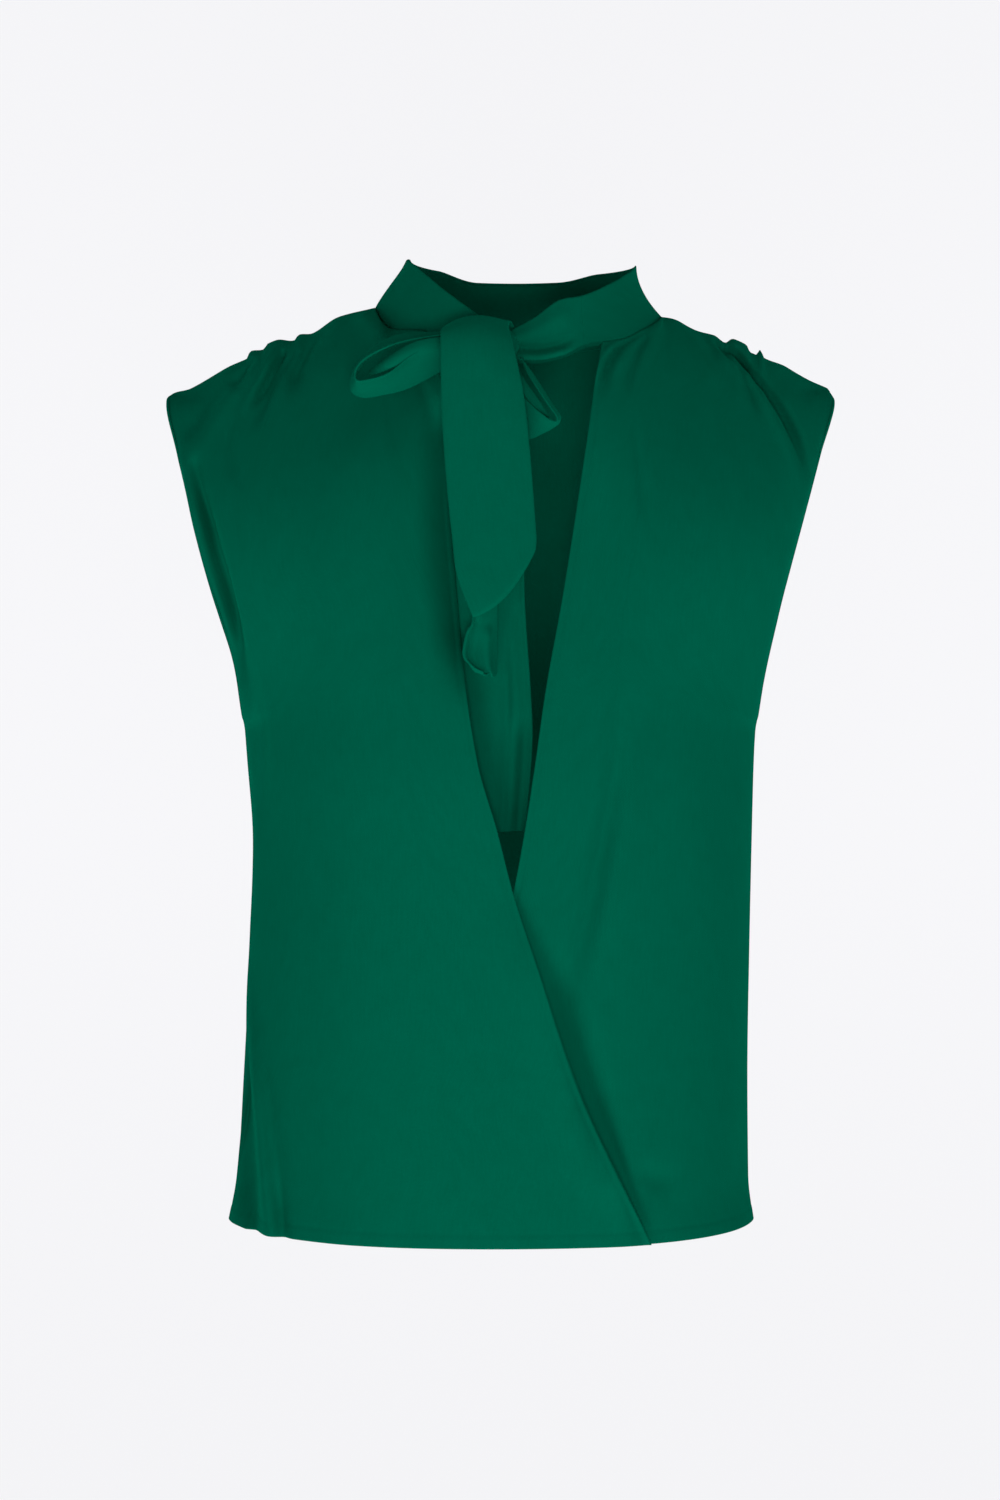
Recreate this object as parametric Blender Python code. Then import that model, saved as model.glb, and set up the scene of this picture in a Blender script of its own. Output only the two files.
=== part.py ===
"""Sleeveless wrap blouse in woven viscose: a back, two lapped fronts, a stand collar and a tie in a bow.

It is filled out as when worn, with nobody inside. Metres, +Z up. The front faces -Y, and left and right are
as seen from the front. The origin lies midway between the side neck points, where the shoulders carry it.
"""

import math
from collections import namedtuple

import bmesh
import bpy
from mathutils import Vector

# The cloth
WALL = 0.0013
SEAM_GAP = 0.0003
LAP_STEP = 0.0032
LAP_START = -0.130
LAP_RAMP = 0.040
LAP_FALL = 0.060
CLOTH_COLOUR = (0.0, 0.093, 0.058, 1.0)
CLOTH_ROUGHNESS = 0.6

# The body's form
SHOULDER_TIP = -0.055
UNDERARM = -0.268
HEM_AT_SIDES = -0.587
HEM_DIP = 0.005
ARMHOLE_REACH_FRONT = 0.042
ARMHOLE_REACH_BACK = 0.046
FULLNESS = 2.4

Section = namedtuple("Section", "height left right front back")
SECTIONS = (
    Section(0.000, 0.2158, 0.2165, 0.112, 0.092),
    Section(-0.055, 0.2158, 0.2165, 0.116, 0.099),
    Section(-0.095, 0.2066, 0.2053, 0.118, 0.104),
    Section(-0.147, 0.1917, 0.1910, 0.121, 0.109),
    Section(-0.198, 0.1784, 0.1778, 0.125, 0.109),
    Section(-0.249, 0.1680, 0.1680, 0.128, 0.106),
    Section(-0.287, 0.1645, 0.1650, 0.128, 0.102),
    Section(-0.352, 0.1606, 0.1632, 0.124, 0.098),
    Section(-0.404, 0.1625, 0.1620, 0.121, 0.097),
    Section(-0.495, 0.1670, 0.1606, 0.119, 0.101),
    Section(-0.560, 0.1710, 0.1612, 0.120, 0.105),
    Section(-0.592, 0.1768, 0.1651, 0.121, 0.107),
)

# The shoulder seam, from the side neck point out to the tip
Shoulder = namedtuple("Shoulder", "reach height")
SHOULDERS = (
    Shoulder(0.081, 0.0030),
    Shoulder(0.105, -0.0030),
    Shoulder(0.122, -0.0120),
    Shoulder(0.162, -0.0255),
    Shoulder(0.200, -0.0470),
    Shoulder(0.2165, -0.0550),
)

# How far below the shoulder seam, or the neckline, the cloth reaches its full depth, and how roundly
SHOULDER_DROP = 0.170
NECK_DROP = 0.095
SHOULDER_ROUNDING = 0.5
NECK_ROUNDING = 0.8

# The wrap: where each front's free edge runs
Wrap = namedtuple("Wrap", "height over under")
WRAPS = (
    Wrap(-0.021, -0.0480, 0.0640),
    Wrap(-0.052, -0.0455, 0.0585),
    Wrap(-0.067, -0.0366, 0.0565),
    Wrap(-0.130, -0.0315, 0.0475),
    Wrap(-0.191, -0.0265, 0.0380),
    Wrap(-0.247, -0.0210, 0.0280),
    Wrap(-0.293, -0.0136, 0.0215),
    Wrap(-0.333, -0.0020, 0.0154),
    Wrap(-0.372, 0.0080, 0.0080),
    Wrap(-0.414, 0.0216, -0.0050),
    Wrap(-0.496, 0.0494, -0.0340),
    Wrap(-0.592, 0.0940, -0.0780),
)

# The stand collar, by the angle round the neck from the middle of the back, in degrees, left negative
NECK_CENTRE = 0.012
NECK_HALF_WIDTH = 0.093
NECK_FRONT = 0.100
NECK_BACK = 0.078
Stand = namedtuple("Stand", "angle base top lean")
STANDS = (
    Stand(-168, -0.036, -0.018, 0.002),
    Stand(-150, -0.022, 0.003, 0.004),
    Stand(-120, -0.016, 0.0195, 0.012),
    Stand(-90, 0.003, 0.032, 0.021),
    Stand(-45, -0.007, 0.028, 0.017),
    Stand(0, -0.012, 0.026, 0.013),
    Stand(45, -0.009, 0.027, 0.017),
    Stand(90, -0.003, 0.029, 0.020),
    Stand(120, -0.0155, 0.019, 0.013),
    Stand(135, -0.0245, 0.011, 0.009),
    Stand(154, -0.031, 0.000, 0.005),
    Stand(163, -0.038, -0.003, 0.003),
    Stand(174, -0.0415, -0.015, 0.002),
    Stand(179, -0.0415, -0.021, 0.001),
)
OVER_NECK_END = -140
COLLAR_LEFT_END = -166.8
UNDER_NECK_END = 146
COLLAR_SEAM = 154
STRAP_END = 177.8
SEAM_TURN = 0.3

# Folds that run down the fronts, in the plane of the front view: ridges stand out, valleys lie in
Fold = namedtuple("Fold", "x_top z_top x_bottom z_bottom width depth")
FRONT_FOLDS = (
    Fold(-0.120, 0.010, -0.172, -0.100, 0.010, -0.0040),
    Fold(-0.152, -0.010, -0.212, -0.120, 0.012, 0.0040),
    Fold(-0.096, 0.020, -0.135, -0.080, 0.010, -0.0030),
    Fold(0.118, 0.010, 0.204, -0.130, 0.011, -0.0045),
    Fold(0.100, 0.005, 0.130, -0.075, 0.010, -0.0025),
    Fold(0.078, -0.030, 0.062, -0.095, 0.010, -0.0035),
    Fold(0.070, -0.320, 0.036, -0.480, 0.016, -0.0035),
    Fold(-0.158, -0.440, -0.136, -0.620, 0.012, 0.0040),
)
BACK_FOLDS = (
    Fold(-0.104, 0.010, -0.168, -0.140, 0.012, -0.0040),
    Fold(0.108, 0.010, 0.172, -0.150, 0.012, -0.0040),
    Fold(-0.060, -0.280, -0.090, -0.640, 0.022, -0.0045),
    Fold(0.050, -0.300, 0.082, -0.640, 0.024, -0.0045),
    Fold(0.000, -0.260, -0.005, -0.560, 0.020, 0.0030),
)
SEAM_FADE = 0.012
EASE_ONTO_EDGE = 4

# How finely the panels are divided
ARMHOLE_ROWS = 10
SIDE_ROWS = 11
NECK_COLUMNS = 5
SHOULDER_COLUMNS = 12
BACK_NECK_COLUMNS = 10
COLLAR_ROWS = 3

# The tie: each stretch by the two edges of the band, station after station along it
Band = namedtuple("Band", "x1 y1 z1 x2 y2 z2")
TIE_WALL = 0.0014
TAIL_FRONT = (
    Band(-0.0260, -0.1015, -0.0215, 0.0090, -0.0985, -0.0201),
    Band(-0.0310, -0.1090, -0.0170, 0.0070, -0.1070, -0.0180),
    Band(-0.0355, -0.1210, -0.0190, 0.0055, -0.1180, -0.0230),
    Band(-0.0368, -0.1330, -0.0310, 0.0085, -0.1290, -0.0360),
    Band(-0.0362, -0.1370, -0.0660, 0.0150, -0.1345, -0.0680),
    Band(-0.0337, -0.1380, -0.1105, 0.0193, -0.1365, -0.1105),
    Band(-0.0294, -0.1380, -0.1553, 0.0220, -0.1370, -0.1520),
    Band(-0.0240, -0.1380, -0.1850, 0.0160, -0.1365, -0.1740),
    Band(-0.0172, -0.1370, -0.2020, 0.0000, -0.1360, -0.1900),
    Band(-0.0239, -0.1345, -0.2258, -0.0018, -0.1330, -0.2200),
    Band(-0.0160, -0.1350, -0.2365, -0.0020, -0.1335, -0.2390),
)
TAIL_BACK = (
    Band(-0.0080, -0.1030, -0.0433, 0.0120, -0.1030, -0.0433),
    Band(-0.0240, -0.1010, -0.0750, 0.0130, -0.1010, -0.0750),
    Band(-0.0360, -0.1030, -0.1300, 0.0150, -0.1070, -0.1300),
    Band(-0.0380, -0.1060, -0.1900, 0.0155, -0.1110, -0.1900),
    Band(-0.0360, -0.1080, -0.2500, 0.0195, -0.1130, -0.2500),
    Band(-0.0340, -0.1080, -0.3000, 0.0215, -0.1130, -0.3000),
    Band(-0.0330, -0.1070, -0.3350, 0.0220, -0.1120, -0.3350),
)
LOOP_LEFT = (
    Band(-0.0080, -0.1110, -0.0262, -0.0077, -0.1020, -0.0257),
    Band(-0.0370, -0.1220, -0.0265, -0.0350, -0.1040, -0.0250),
    Band(-0.0600, -0.1300, -0.0285, -0.0560, -0.1050, -0.0270),
    Band(-0.0780, -0.1330, -0.0395, -0.0730, -0.1050, -0.0375),
    Band(-0.0885, -0.1320, -0.0510, -0.0830, -0.1060, -0.0490),
    Band(-0.0890, -0.1310, -0.0630, -0.0850, -0.1050, -0.0620),
    Band(-0.0800, -0.1310, -0.0665, -0.0770, -0.1060, -0.0660),
    Band(-0.0620, -0.1310, -0.0640, -0.0590, -0.1090, -0.0600),
    Band(-0.0420, -0.1290, -0.0560, -0.0400, -0.1100, -0.0510),
    Band(-0.0260, -0.1240, -0.0440, -0.0250, -0.1090, -0.0410),
    Band(-0.0070, -0.1100, -0.0368, -0.0092, -0.1035, -0.0357),
)
LOOP_RIGHT = (
    Band(0.0135, -0.1130, -0.0400, 0.0119, -0.1040, -0.0400),
    Band(0.0240, -0.1200, -0.0520, 0.0255, -0.1060, -0.0505),
    Band(0.0320, -0.1240, -0.0650, 0.0340, -0.1090, -0.0620),
    Band(0.0345, -0.1250, -0.0760, 0.0365, -0.1100, -0.0730),
    Band(0.0320, -0.1250, -0.0830, 0.0345, -0.1110, -0.0800),
    Band(0.0230, -0.1240, -0.0890, 0.0260, -0.1120, -0.0850),
    Band(0.0155, -0.1230, -0.0900, 0.0180, -0.1120, -0.0860),
    Band(0.0100, -0.1200, -0.0700, 0.0120, -0.1120, -0.0680),
    Band(0.0060, -0.1130, -0.0450, 0.0070, -0.1080, -0.0445),
)
TAIL_COLUMNS = 4
LOOP_COLUMNS = 2
ROWS_PER_STATION = 2
STRAP_COLUMNS = 3
FREE_END_COLUMNS = 3
KNOT_CENTRE = Vector((0.003, -0.101, -0.032))
KNOT_RADII = Vector((0.0125, 0.0095, 0.011))
KNOT_SEGMENTS = 16
KNOT_RINGS = 8


# Reading the tables

def slopes_of(keys, values):
    """Slopes through the rows that never overshoot them."""
    steps = [b - a for a, b in zip(keys, keys[1:])]
    rates = [(b - a) / step for a, b, step in zip(values, values[1:], steps)]
    slopes = [rates[0]]
    for before, after in zip(rates, rates[1:]):
        flat = before * after <= 0
        slopes.append(0 if flat else 2 * before * after / (before + after))
    return slopes + [rates[-1]]


def between(a, b, slope_a, slope_b, step, t):
    """A cubic from a to b with the given end slopes, at the fraction t."""
    ease = t * t * (3 - 2 * t)
    out = t * (1 - t) ** 2 * step * slope_a
    back = t * t * (1 - t) * step * slope_b
    return a + (b - a) * ease + out - back


def reader(rows):
    """A function that gives the row at any value of the table's first column."""
    rows = sorted(rows)
    keys = [row[0] for row in rows]
    slopes = [slopes_of(keys, column) for column in zip(*rows)]

    def row_at(key):
        key = min(max(key, keys[0]), keys[-1])
        i = max(i for i, first in enumerate(keys[:-1]) if first <= key)
        step = keys[i + 1] - keys[i]
        t = (key - keys[i]) / step
        pairs = zip(rows[i], rows[i + 1], slopes)
        return type(rows[0])(*(between(a, b, s[i], s[i + 1], step, t) for a, b, s in pairs))

    return row_at


section_at = reader(SECTIONS)
shoulder_at = reader(SHOULDERS)
wrap_at = reader(WRAPS)
stand_at = reader(STANDS)


def spread(a, b, count):
    """Equal steps from a to b, both ends with them."""
    return [a + (b - a) * i / count for i in range(count + 1)]


# The neck and the shoulders

def neck_point(angle, up=0.0):
    """A point of the stand collar: up is 0 on its seam with the body and 1 on its top edge."""
    stand = stand_at(angle)
    turn = math.radians(angle)
    depth = NECK_BACK if abs(angle) < 90 else NECK_FRONT
    x = NECK_CENTRE + NECK_HALF_WIDTH * math.sin(turn)
    inward = Vector((-math.sin(turn), -math.cos(turn), 0)) * stand.lean * up
    return Vector((x, depth * math.cos(turn), stand.base + (stand.top - stand.base) * up)) + inward


def shoulder_point(reach, side):
    return Vector((side * reach, 0, shoulder_at(reach).height))


def tip_reach(side):
    tip = section_at(SHOULDER_TIP)
    return tip.right if side > 0 else tip.left


def shoulder_points(side, count):
    """The shoulder seam from the side neck point to the tip, without the first."""
    start = abs(neck_point(90 * side).x)
    reaches = spread(start, tip_reach(side), count)[1:]
    return [shoulder_point(reach, side) for reach in reaches]


# The body's form

def half_width(x, height):
    section = section_at(height)
    return section.right if x > 0 else section.left


def armhole_reach(height, widest):
    """How far the armhole's edge stands before or behind the side: half an ellipse, tip to underarm."""
    middle = (SHOULDER_TIP + UNDERARM) / 2
    radius = (SHOULDER_TIP - UNDERARM) / 2
    return widest * math.sqrt(max(0, 1 - ((height - middle) / radius) ** 2))


def form_depth(x, height, top, front):
    """How far the cloth stands before or behind the side seams, on a column that hangs from top."""
    section = section_at(height)
    deepest = section.front if front else section.back
    edge = armhole_reach(height, ARMHOLE_REACH_FRONT if front else ARMHOLE_REACH_BACK)
    across = min(1, abs(x) / half_width(x, height))
    roundness = math.sqrt(1 - across**FULLNESS)
    neckness = min(1, abs(top.y) / NECK_BACK)
    drop = SHOULDER_DROP + (NECK_DROP - SHOULDER_DROP) * neckness
    power = SHOULDER_ROUNDING + (NECK_ROUNDING - SHOULDER_ROUNDING) * neckness
    fallen = min(1, max(0, top.z - height) / drop)
    rise = (1 - (1 - fallen) ** 2) ** power
    return edge + abs(top.y) + ((deepest - edge) * roundness - abs(top.y)) * rise


def fold_height(x, height, folds):
    """How far the folds lift the cloth off its form at this place."""
    lift = 0
    for fold in folds:
        run = Vector((fold.x_bottom - fold.x_top, fold.z_bottom - fold.z_top))
        here = Vector((x - fold.x_top, height - fold.z_top))
        along = min(1, max(0, here.dot(run) / run.length_squared))
        aside = (here - run * along).length
        ends = math.sin(math.pi * along)
        lift += fold.depth * ends * math.exp(-((aside / fold.width) ** 2))
    return lift


# Panels

def fall_fractions():
    """The rows of a panel as fractions of its fall: close at both ends of the armhole, then even."""
    hole = [(1 - math.cos(math.pi * i / ARMHOLE_ROWS)) / 2 for i in range(ARMHOLE_ROWS + 1)]
    share = (SHOULDER_TIP - UNDERARM) / (SHOULDER_TIP - HEM_AT_SIDES)
    return [part * share for part in hole] + spread(share, 1, SIDE_ROWS)[1:]


def hem_height(x):
    across = min(1, abs(x) / half_width(x, HEM_AT_SIDES))
    return HEM_AT_SIDES - HEM_DIP * math.sqrt(1 - across**FULLNESS)


def panel_plan(top, inner, outer, shares):
    """The panel in front view, as rows of (x, z): a surface blended from its four edges.

    inner and outer give a side edge's x for a height, and shares places the columns between them."""
    top_edge = [Vector((point.x, point.z)) for point in top]
    hem_in, hem_out = edge_point(top[0], inner, 1), edge_point(top[-1], outer, 1)
    hem_places = [hem_in.lerp(hem_out, share).x for share in shares]
    hem_edge = [Vector((x, hem_height(x))) for x in hem_places]
    rows = []
    for fall in fall_fractions():
        first, last = edge_point(top[0], inner, fall), edge_point(top[-1], outer, fall)
        row = []
        for share, above, below in zip(shares, top_edge, hem_edge):
            corners = top_edge[0].lerp(top_edge[-1], share).lerp(hem_in.lerp(hem_out, share), fall)
            row.append(first.lerp(last, share) + above.lerp(below, fall) - corners)
        rows.append(row)
    return rows


def edge_point(top, edge, fall):
    """A point on the side edge that starts at the point top, eased from it onto the edge's own line."""
    height = top.z + (hem_height(edge(HEM_AT_SIDES)) - top.z) * fall
    miss = (top.x - edge(top.z)) * (1 - fall) ** EASE_ONTO_EDGE
    return Vector((edge(height) + miss, height))


def placed(plan, top, front, folds, lift=None):
    """The plan's points on the body's form, in rows, with its folds and any stand-off."""
    sign = -1 if front else 1
    grid = []
    for row in plan:
        depths = [form_depth(x, z, start, front) + SEAM_GAP / 2 for (x, z), start in zip(row, top)]
        grid.append([Vector((x, sign * depth, z)) for (x, z), depth in zip(row, depths)])
    for row, row_normals in zip(grid, grid_normals(grid)):
        for i, (point, normal, start) in enumerate(zip(row, row_normals, top)):
            fallen = start.z - point.z
            fade = min(1, fallen / SEAM_FADE) * min(1, abs(point.y) / SEAM_FADE)
            out = fold_height(point.x, point.z, folds) * fade
            if lift:
                out += lift(point.x, fallen)
            row[i] = point + normal * out
    return grid


def panel(name, grid):
    """A panel's wall, its ends on the shoulder and side seams square to the seam, to fit its neighbour."""
    normals = grid_normals(grid)
    for points, row_normals in zip(grid, normals):
        for i, point in enumerate(points):
            if abs(point.y) < SEAM_GAP:
                row_normals[i] = Vector((row_normals[i].x, 0, row_normals[i].z)).normalized()
    return cloth(name, grid, normals)


def grid_normals(grid):
    """The normal at each point of a grid, on the side that faces away from the body's middle."""
    rows, columns = len(grid), len(grid[0])
    normals = []
    for r in range(rows):
        row = []
        for c in range(columns):
            down = grid[min(r + 1, rows - 1)][c] - grid[max(r - 1, 0)][c]
            across = grid[r][min(c + 1, columns - 1)] - grid[r][max(c - 1, 0)]
            row.append(down.cross(across).normalized())
        normals.append(row)
    middle, out = grid[rows // 2][columns // 2], normals[rows // 2][columns // 2]
    if out.dot(Vector((middle.x, middle.y, 0))) < 0:
        normals = [[-normal for normal in row] for row in normals]
    return normals


def lap_lift(x, fallen):
    """The over front's stand-off: none at the left side and at the neck, full where it laps."""
    return LAP_STEP * smooth((x - LAP_START) / LAP_RAMP) * smooth(fallen / LAP_FALL)


def smooth(t):
    t = min(1, max(0, t))
    return t * t * (3 - 2 * t)


def column_shares(count):
    """Column places from a free edge to a side seam, closer together towards the seam."""
    return [math.sin(math.pi / 2 * i / count) for i in range(count + 1)]


def front_panel(name, side, neck_end, edge, lift=None):
    """A front: side is -1 on the left, neck_end the angle where its neckline stops at the wrap."""
    neck = [neck_point(angle) for angle in spread(neck_end, 90 * side, NECK_COLUMNS)]
    top = neck + shoulder_points(side, SHOULDER_COLUMNS)
    shares = column_shares(len(top) - 1)
    plan = panel_plan(top, edge, lambda height: side * half_width(side, height), shares)
    return panel(name, placed(plan, top, True, FRONT_FOLDS, lift))


def back_panel():
    neck = [neck_point(angle) for angle in spread(-90, 90, BACK_NECK_COLUMNS)]
    left = shoulder_points(-1, SHOULDER_COLUMNS)
    top = left[::-1] + neck + shoulder_points(1, SHOULDER_COLUMNS)
    count = len(top) - 1
    shares = [(1 - math.cos(math.pi * i / count)) / 2 for i in range(count + 1)]
    plan = panel_plan(top, lambda z: -half_width(-1, z), lambda z: half_width(1, z), shares)
    return panel("back", placed(plan, top, False, BACK_FOLDS))


# Collar and tie

def stand_band(name, angles):
    """A stretch of the stand collar, its lower edge just clear of the body's neckline."""
    grid = []
    for row in range(COLLAR_ROWS + 1):
        points = []
        for angle in angles:
            base, top = neck_point(angle), neck_point(angle, 1)
            lower = base + (top - base).normalized() * SEAM_GAP
            points.append(lower.lerp(top, row / COLLAR_ROWS))
        grid.append(points)
    normals = grid_normals(grid)
    normals[0] = [Vector((normal.x, normal.y, 0)).normalized() for normal in normals[0]]
    return cloth(name, grid, normals)


def collar_angles():
    """The neckline's own columns, so that the collar's seam follows it, and then the free ends."""
    left = spread(COLLAR_LEFT_END, OVER_NECK_END, FREE_END_COLUMNS)[:-1]
    over = spread(OVER_NECK_END, -90, NECK_COLUMNS)[:-1]
    back = spread(-90, 90, BACK_NECK_COLUMNS)
    under = spread(90, UNDER_NECK_END, NECK_COLUMNS)[1:]
    return left + over + back + under + [COLLAR_SEAM]


def along_band(stations, rows):
    """Rows of edge points, read from smooth curves through the stations."""
    end = len(stations) - 1
    slopes = []
    for i in range(end + 1):
        before, after = max(i - 1, 0), min(i + 1, end)
        slopes.append([(b - a) / (after - before) for a, b in zip(stations[before], stations[after])])
    run = []
    for place in spread(0, end, rows):
        i = min(int(place), end - 1)
        pairs = zip(stations[i], stations[i + 1], slopes[i], slopes[i + 1])
        run.append(Band(*(between(a, b, leave, arrive, 1, place - i) for a, b, leave, arrive in pairs)))
    return run


def tie_band(name, stations, columns):
    grid = []
    for row in along_band(stations, ROWS_PER_STATION * (len(stations) - 1)):
        first, last = Vector((row.x1, row.y1, row.z1)), Vector((row.x2, row.y2, row.z2))
        grid.append([first.lerp(last, i / columns) for i in range(columns + 1)])
    return cloth(name, grid, grid_normals(grid), TIE_WALL, 0.5)


def tie_knot():
    bpy.ops.mesh.primitive_uv_sphere_add(
        segments=KNOT_SEGMENTS, ring_count=KNOT_RINGS, radius=1, location=KNOT_CENTRE
    )
    knot = bpy.context.object
    knot.name = knot.data.name = "tie_knot"
    knot.scale = KNOT_RADII
    bpy.ops.object.transform_apply(location=False, rotation=False, scale=True)
    knot.data.materials.append(cloth_material("tie_knot"))
    knot.data.shade_smooth()
    return knot


# Making the objects

def cloth_material(name):
    material = bpy.data.materials.new(name + "_viscose")
    material.use_nodes = True
    shader = material.node_tree.nodes["Principled BSDF"]
    shader.inputs["Base Color"].default_value = CLOTH_COLOUR
    shader.inputs["Roughness"].default_value = CLOTH_ROUGHNESS
    shader.inputs["Metallic"].default_value = 0
    return material


def cloth(name, grid, normals, thickness=WALL, behind=1.0):
    """A wall of cloth on a grid of points: behind is the share of its thickness that lies within them."""
    wall = bmesh.new()
    outer, inner = [], []
    for points, row_normals in zip(grid, normals):
        pairs = list(zip(points, row_normals))
        outer.append([wall.verts.new(point + normal * thickness * (1 - behind)) for point, normal in pairs])
        inner.append([wall.verts.new(point - normal * thickness * behind) for point, normal in pairs])
    for upper, lower in zip(outer, outer[1:]):
        add_faces(wall, upper, lower)
    for upper, lower in zip(inner, inner[1:]):
        add_faces(wall, lower, upper)
    rim_outer, rim_inner = border_of(outer), border_of(inner)
    add_faces(wall, rim_inner + rim_inner[:1], rim_outer + rim_outer[:1])
    if wall.calc_volume(signed=True) < 0:
        bmesh.ops.reverse_faces(wall, faces=wall.faces)
    mesh = bpy.data.meshes.new(name)
    wall.to_mesh(mesh)
    wall.free()
    item = bpy.data.objects.new(name, mesh)
    bpy.context.collection.objects.link(item)
    mesh.materials.append(cloth_material(name))
    mesh.shade_smooth()
    return item


def add_faces(wall, upper, lower):
    for a, b, c, d in zip(upper, upper[1:], lower[1:], lower):
        wall.faces.new((a, b, c, d))


def border_of(layer):
    """The grid's outermost points, in order round it."""
    right = [row[-1] for row in layer[1:-1]]
    left = [row[0] for row in layer[-2:0:-1]]
    return layer[0] + right + layer[-1][::-1] + left


def build():
    for item in list(bpy.data.objects):
        bpy.data.objects.remove(item, do_unlink=True)
    back_panel()
    front_panel("front_over", -1, OVER_NECK_END, lambda height: wrap_at(height).over, lap_lift)
    front_panel("front_under", 1, UNDER_NECK_END, lambda height: wrap_at(height).under)
    stand_band("collar", collar_angles())
    stand_band("tie_strap", spread(COLLAR_SEAM + SEAM_TURN, STRAP_END, STRAP_COLUMNS))
    tie_knot()
    tie_band("bow_loop_left", LOOP_LEFT, LOOP_COLUMNS)
    tie_band("bow_loop_right", LOOP_RIGHT, LOOP_COLUMNS)
    tie_band("tail_front", TAIL_FRONT, TAIL_COLUMNS)
    tie_band("tail_back", TAIL_BACK, TAIL_COLUMNS)


build()
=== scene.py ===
"""The looks of a sleeveless blouse in green viscose crepe, gathered at the shoulders and tied at the neck.

Lengths are in millimetres until a mesh is made. The front faces -Y, and left and right are as seen from there.
"""

import math
from collections import namedtuple

import bpy
import numpy as np
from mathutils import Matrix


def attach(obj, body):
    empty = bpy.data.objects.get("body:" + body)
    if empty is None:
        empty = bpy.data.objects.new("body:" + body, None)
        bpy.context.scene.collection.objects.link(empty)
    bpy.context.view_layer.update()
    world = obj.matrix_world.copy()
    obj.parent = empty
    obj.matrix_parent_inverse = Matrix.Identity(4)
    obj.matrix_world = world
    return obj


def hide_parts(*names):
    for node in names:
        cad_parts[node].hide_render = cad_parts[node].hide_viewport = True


MM = 0.001

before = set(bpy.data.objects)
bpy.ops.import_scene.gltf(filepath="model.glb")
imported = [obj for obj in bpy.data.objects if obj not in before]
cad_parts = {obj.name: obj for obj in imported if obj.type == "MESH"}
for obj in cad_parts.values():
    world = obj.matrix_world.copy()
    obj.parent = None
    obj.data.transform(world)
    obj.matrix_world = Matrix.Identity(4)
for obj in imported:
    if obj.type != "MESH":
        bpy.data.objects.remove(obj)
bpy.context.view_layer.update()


# The photograph's view: level, square to the front, one pixel of 0.65 mm at the garment's middle depth
IMAGE_HEIGHT = 1500
PIXEL = 0.65
EYE_DISTANCE = 2400
EYE_HEIGHT = -284
SENSOR_HEIGHT = 36


def add_camera():
    data = bpy.data.cameras.new("camera")
    data.sensor_fit = "VERTICAL"
    data.sensor_height = SENSOR_HEIGHT
    data.lens = SENSOR_HEIGHT * EYE_DISTANCE / (IMAGE_HEIGHT * PIXEL)
    data.clip_end = 50
    camera = bpy.data.objects.new("camera", data)
    camera.location = (0, -EYE_DISTANCE * MM, EYE_HEIGHT * MM)
    camera.rotation_euler = (math.radians(90), 0, 0)
    bpy.context.scene.collection.objects.link(camera)
    bpy.context.scene.camera = camera


add_camera()


# The body's form, as the cut fills out when worn
SHOULDER_TIP = -55
UNDERARM = -268
HEM_AT_SIDES = -587
HEM_DIP = 5
ARMHOLE_REACH_FRONT = 42
ARMHOLE_REACH_BACK = 46
FULLNESS = 2.4
LAP_STEP = 3.2
LAP_START = -130
LAP_RAMP = 40
LAP_FALL = 60

Section = namedtuple("Section", "height left right front back")
SECTIONS = (
    Section(0, 215.8, 216.5, 112, 92),
    Section(-55, 215.8, 216.5, 116, 99),
    Section(-95, 206.6, 205.3, 118, 104),
    Section(-147, 191.7, 191.0, 121, 109),
    Section(-198, 178.4, 177.8, 125, 109),
    Section(-249, 168.0, 168.0, 128, 106),
    Section(-287, 164.5, 165.0, 128, 102),
    Section(-352, 160.6, 163.2, 124, 98),
    Section(-404, 162.5, 162.0, 121, 97),
    Section(-495, 167.0, 160.6, 119, 101),
    Section(-560, 171.0, 161.2, 120, 105),
    Section(-592, 176.8, 165.1, 121, 107),
)

Shoulder = namedtuple("Shoulder", "reach height")
SHOULDERS = (
    Shoulder(81, 3),
    Shoulder(105, -3),
    Shoulder(122, -12),
    Shoulder(162, -25.5),
    Shoulder(200, -47),
    Shoulder(216.5, -55),
)
SHOULDER_DROP = 170
NECK_DROP = 95
SHOULDER_ROUNDING = 0.5
NECK_ROUNDING = 0.8

Wrap = namedtuple("Wrap", "height over under")
WRAPS = (
    Wrap(-21, -48.0, 64.0),
    Wrap(-52, -37.0, 58.5),
    Wrap(-67, -34.0, 56.5),
    Wrap(-130, -31.5, 47.5),
    Wrap(-191, -26.5, 38.0),
    Wrap(-247, -21.0, 28.0),
    Wrap(-293, -13.6, 21.5),
    Wrap(-333, -2.0, 15.4),
    Wrap(-372, 8.0, 8.0),
    Wrap(-414, 21.6, -5.0),
    Wrap(-496, 49.4, -34.0),
    Wrap(-592, 94.0, -78.0),
)

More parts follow.
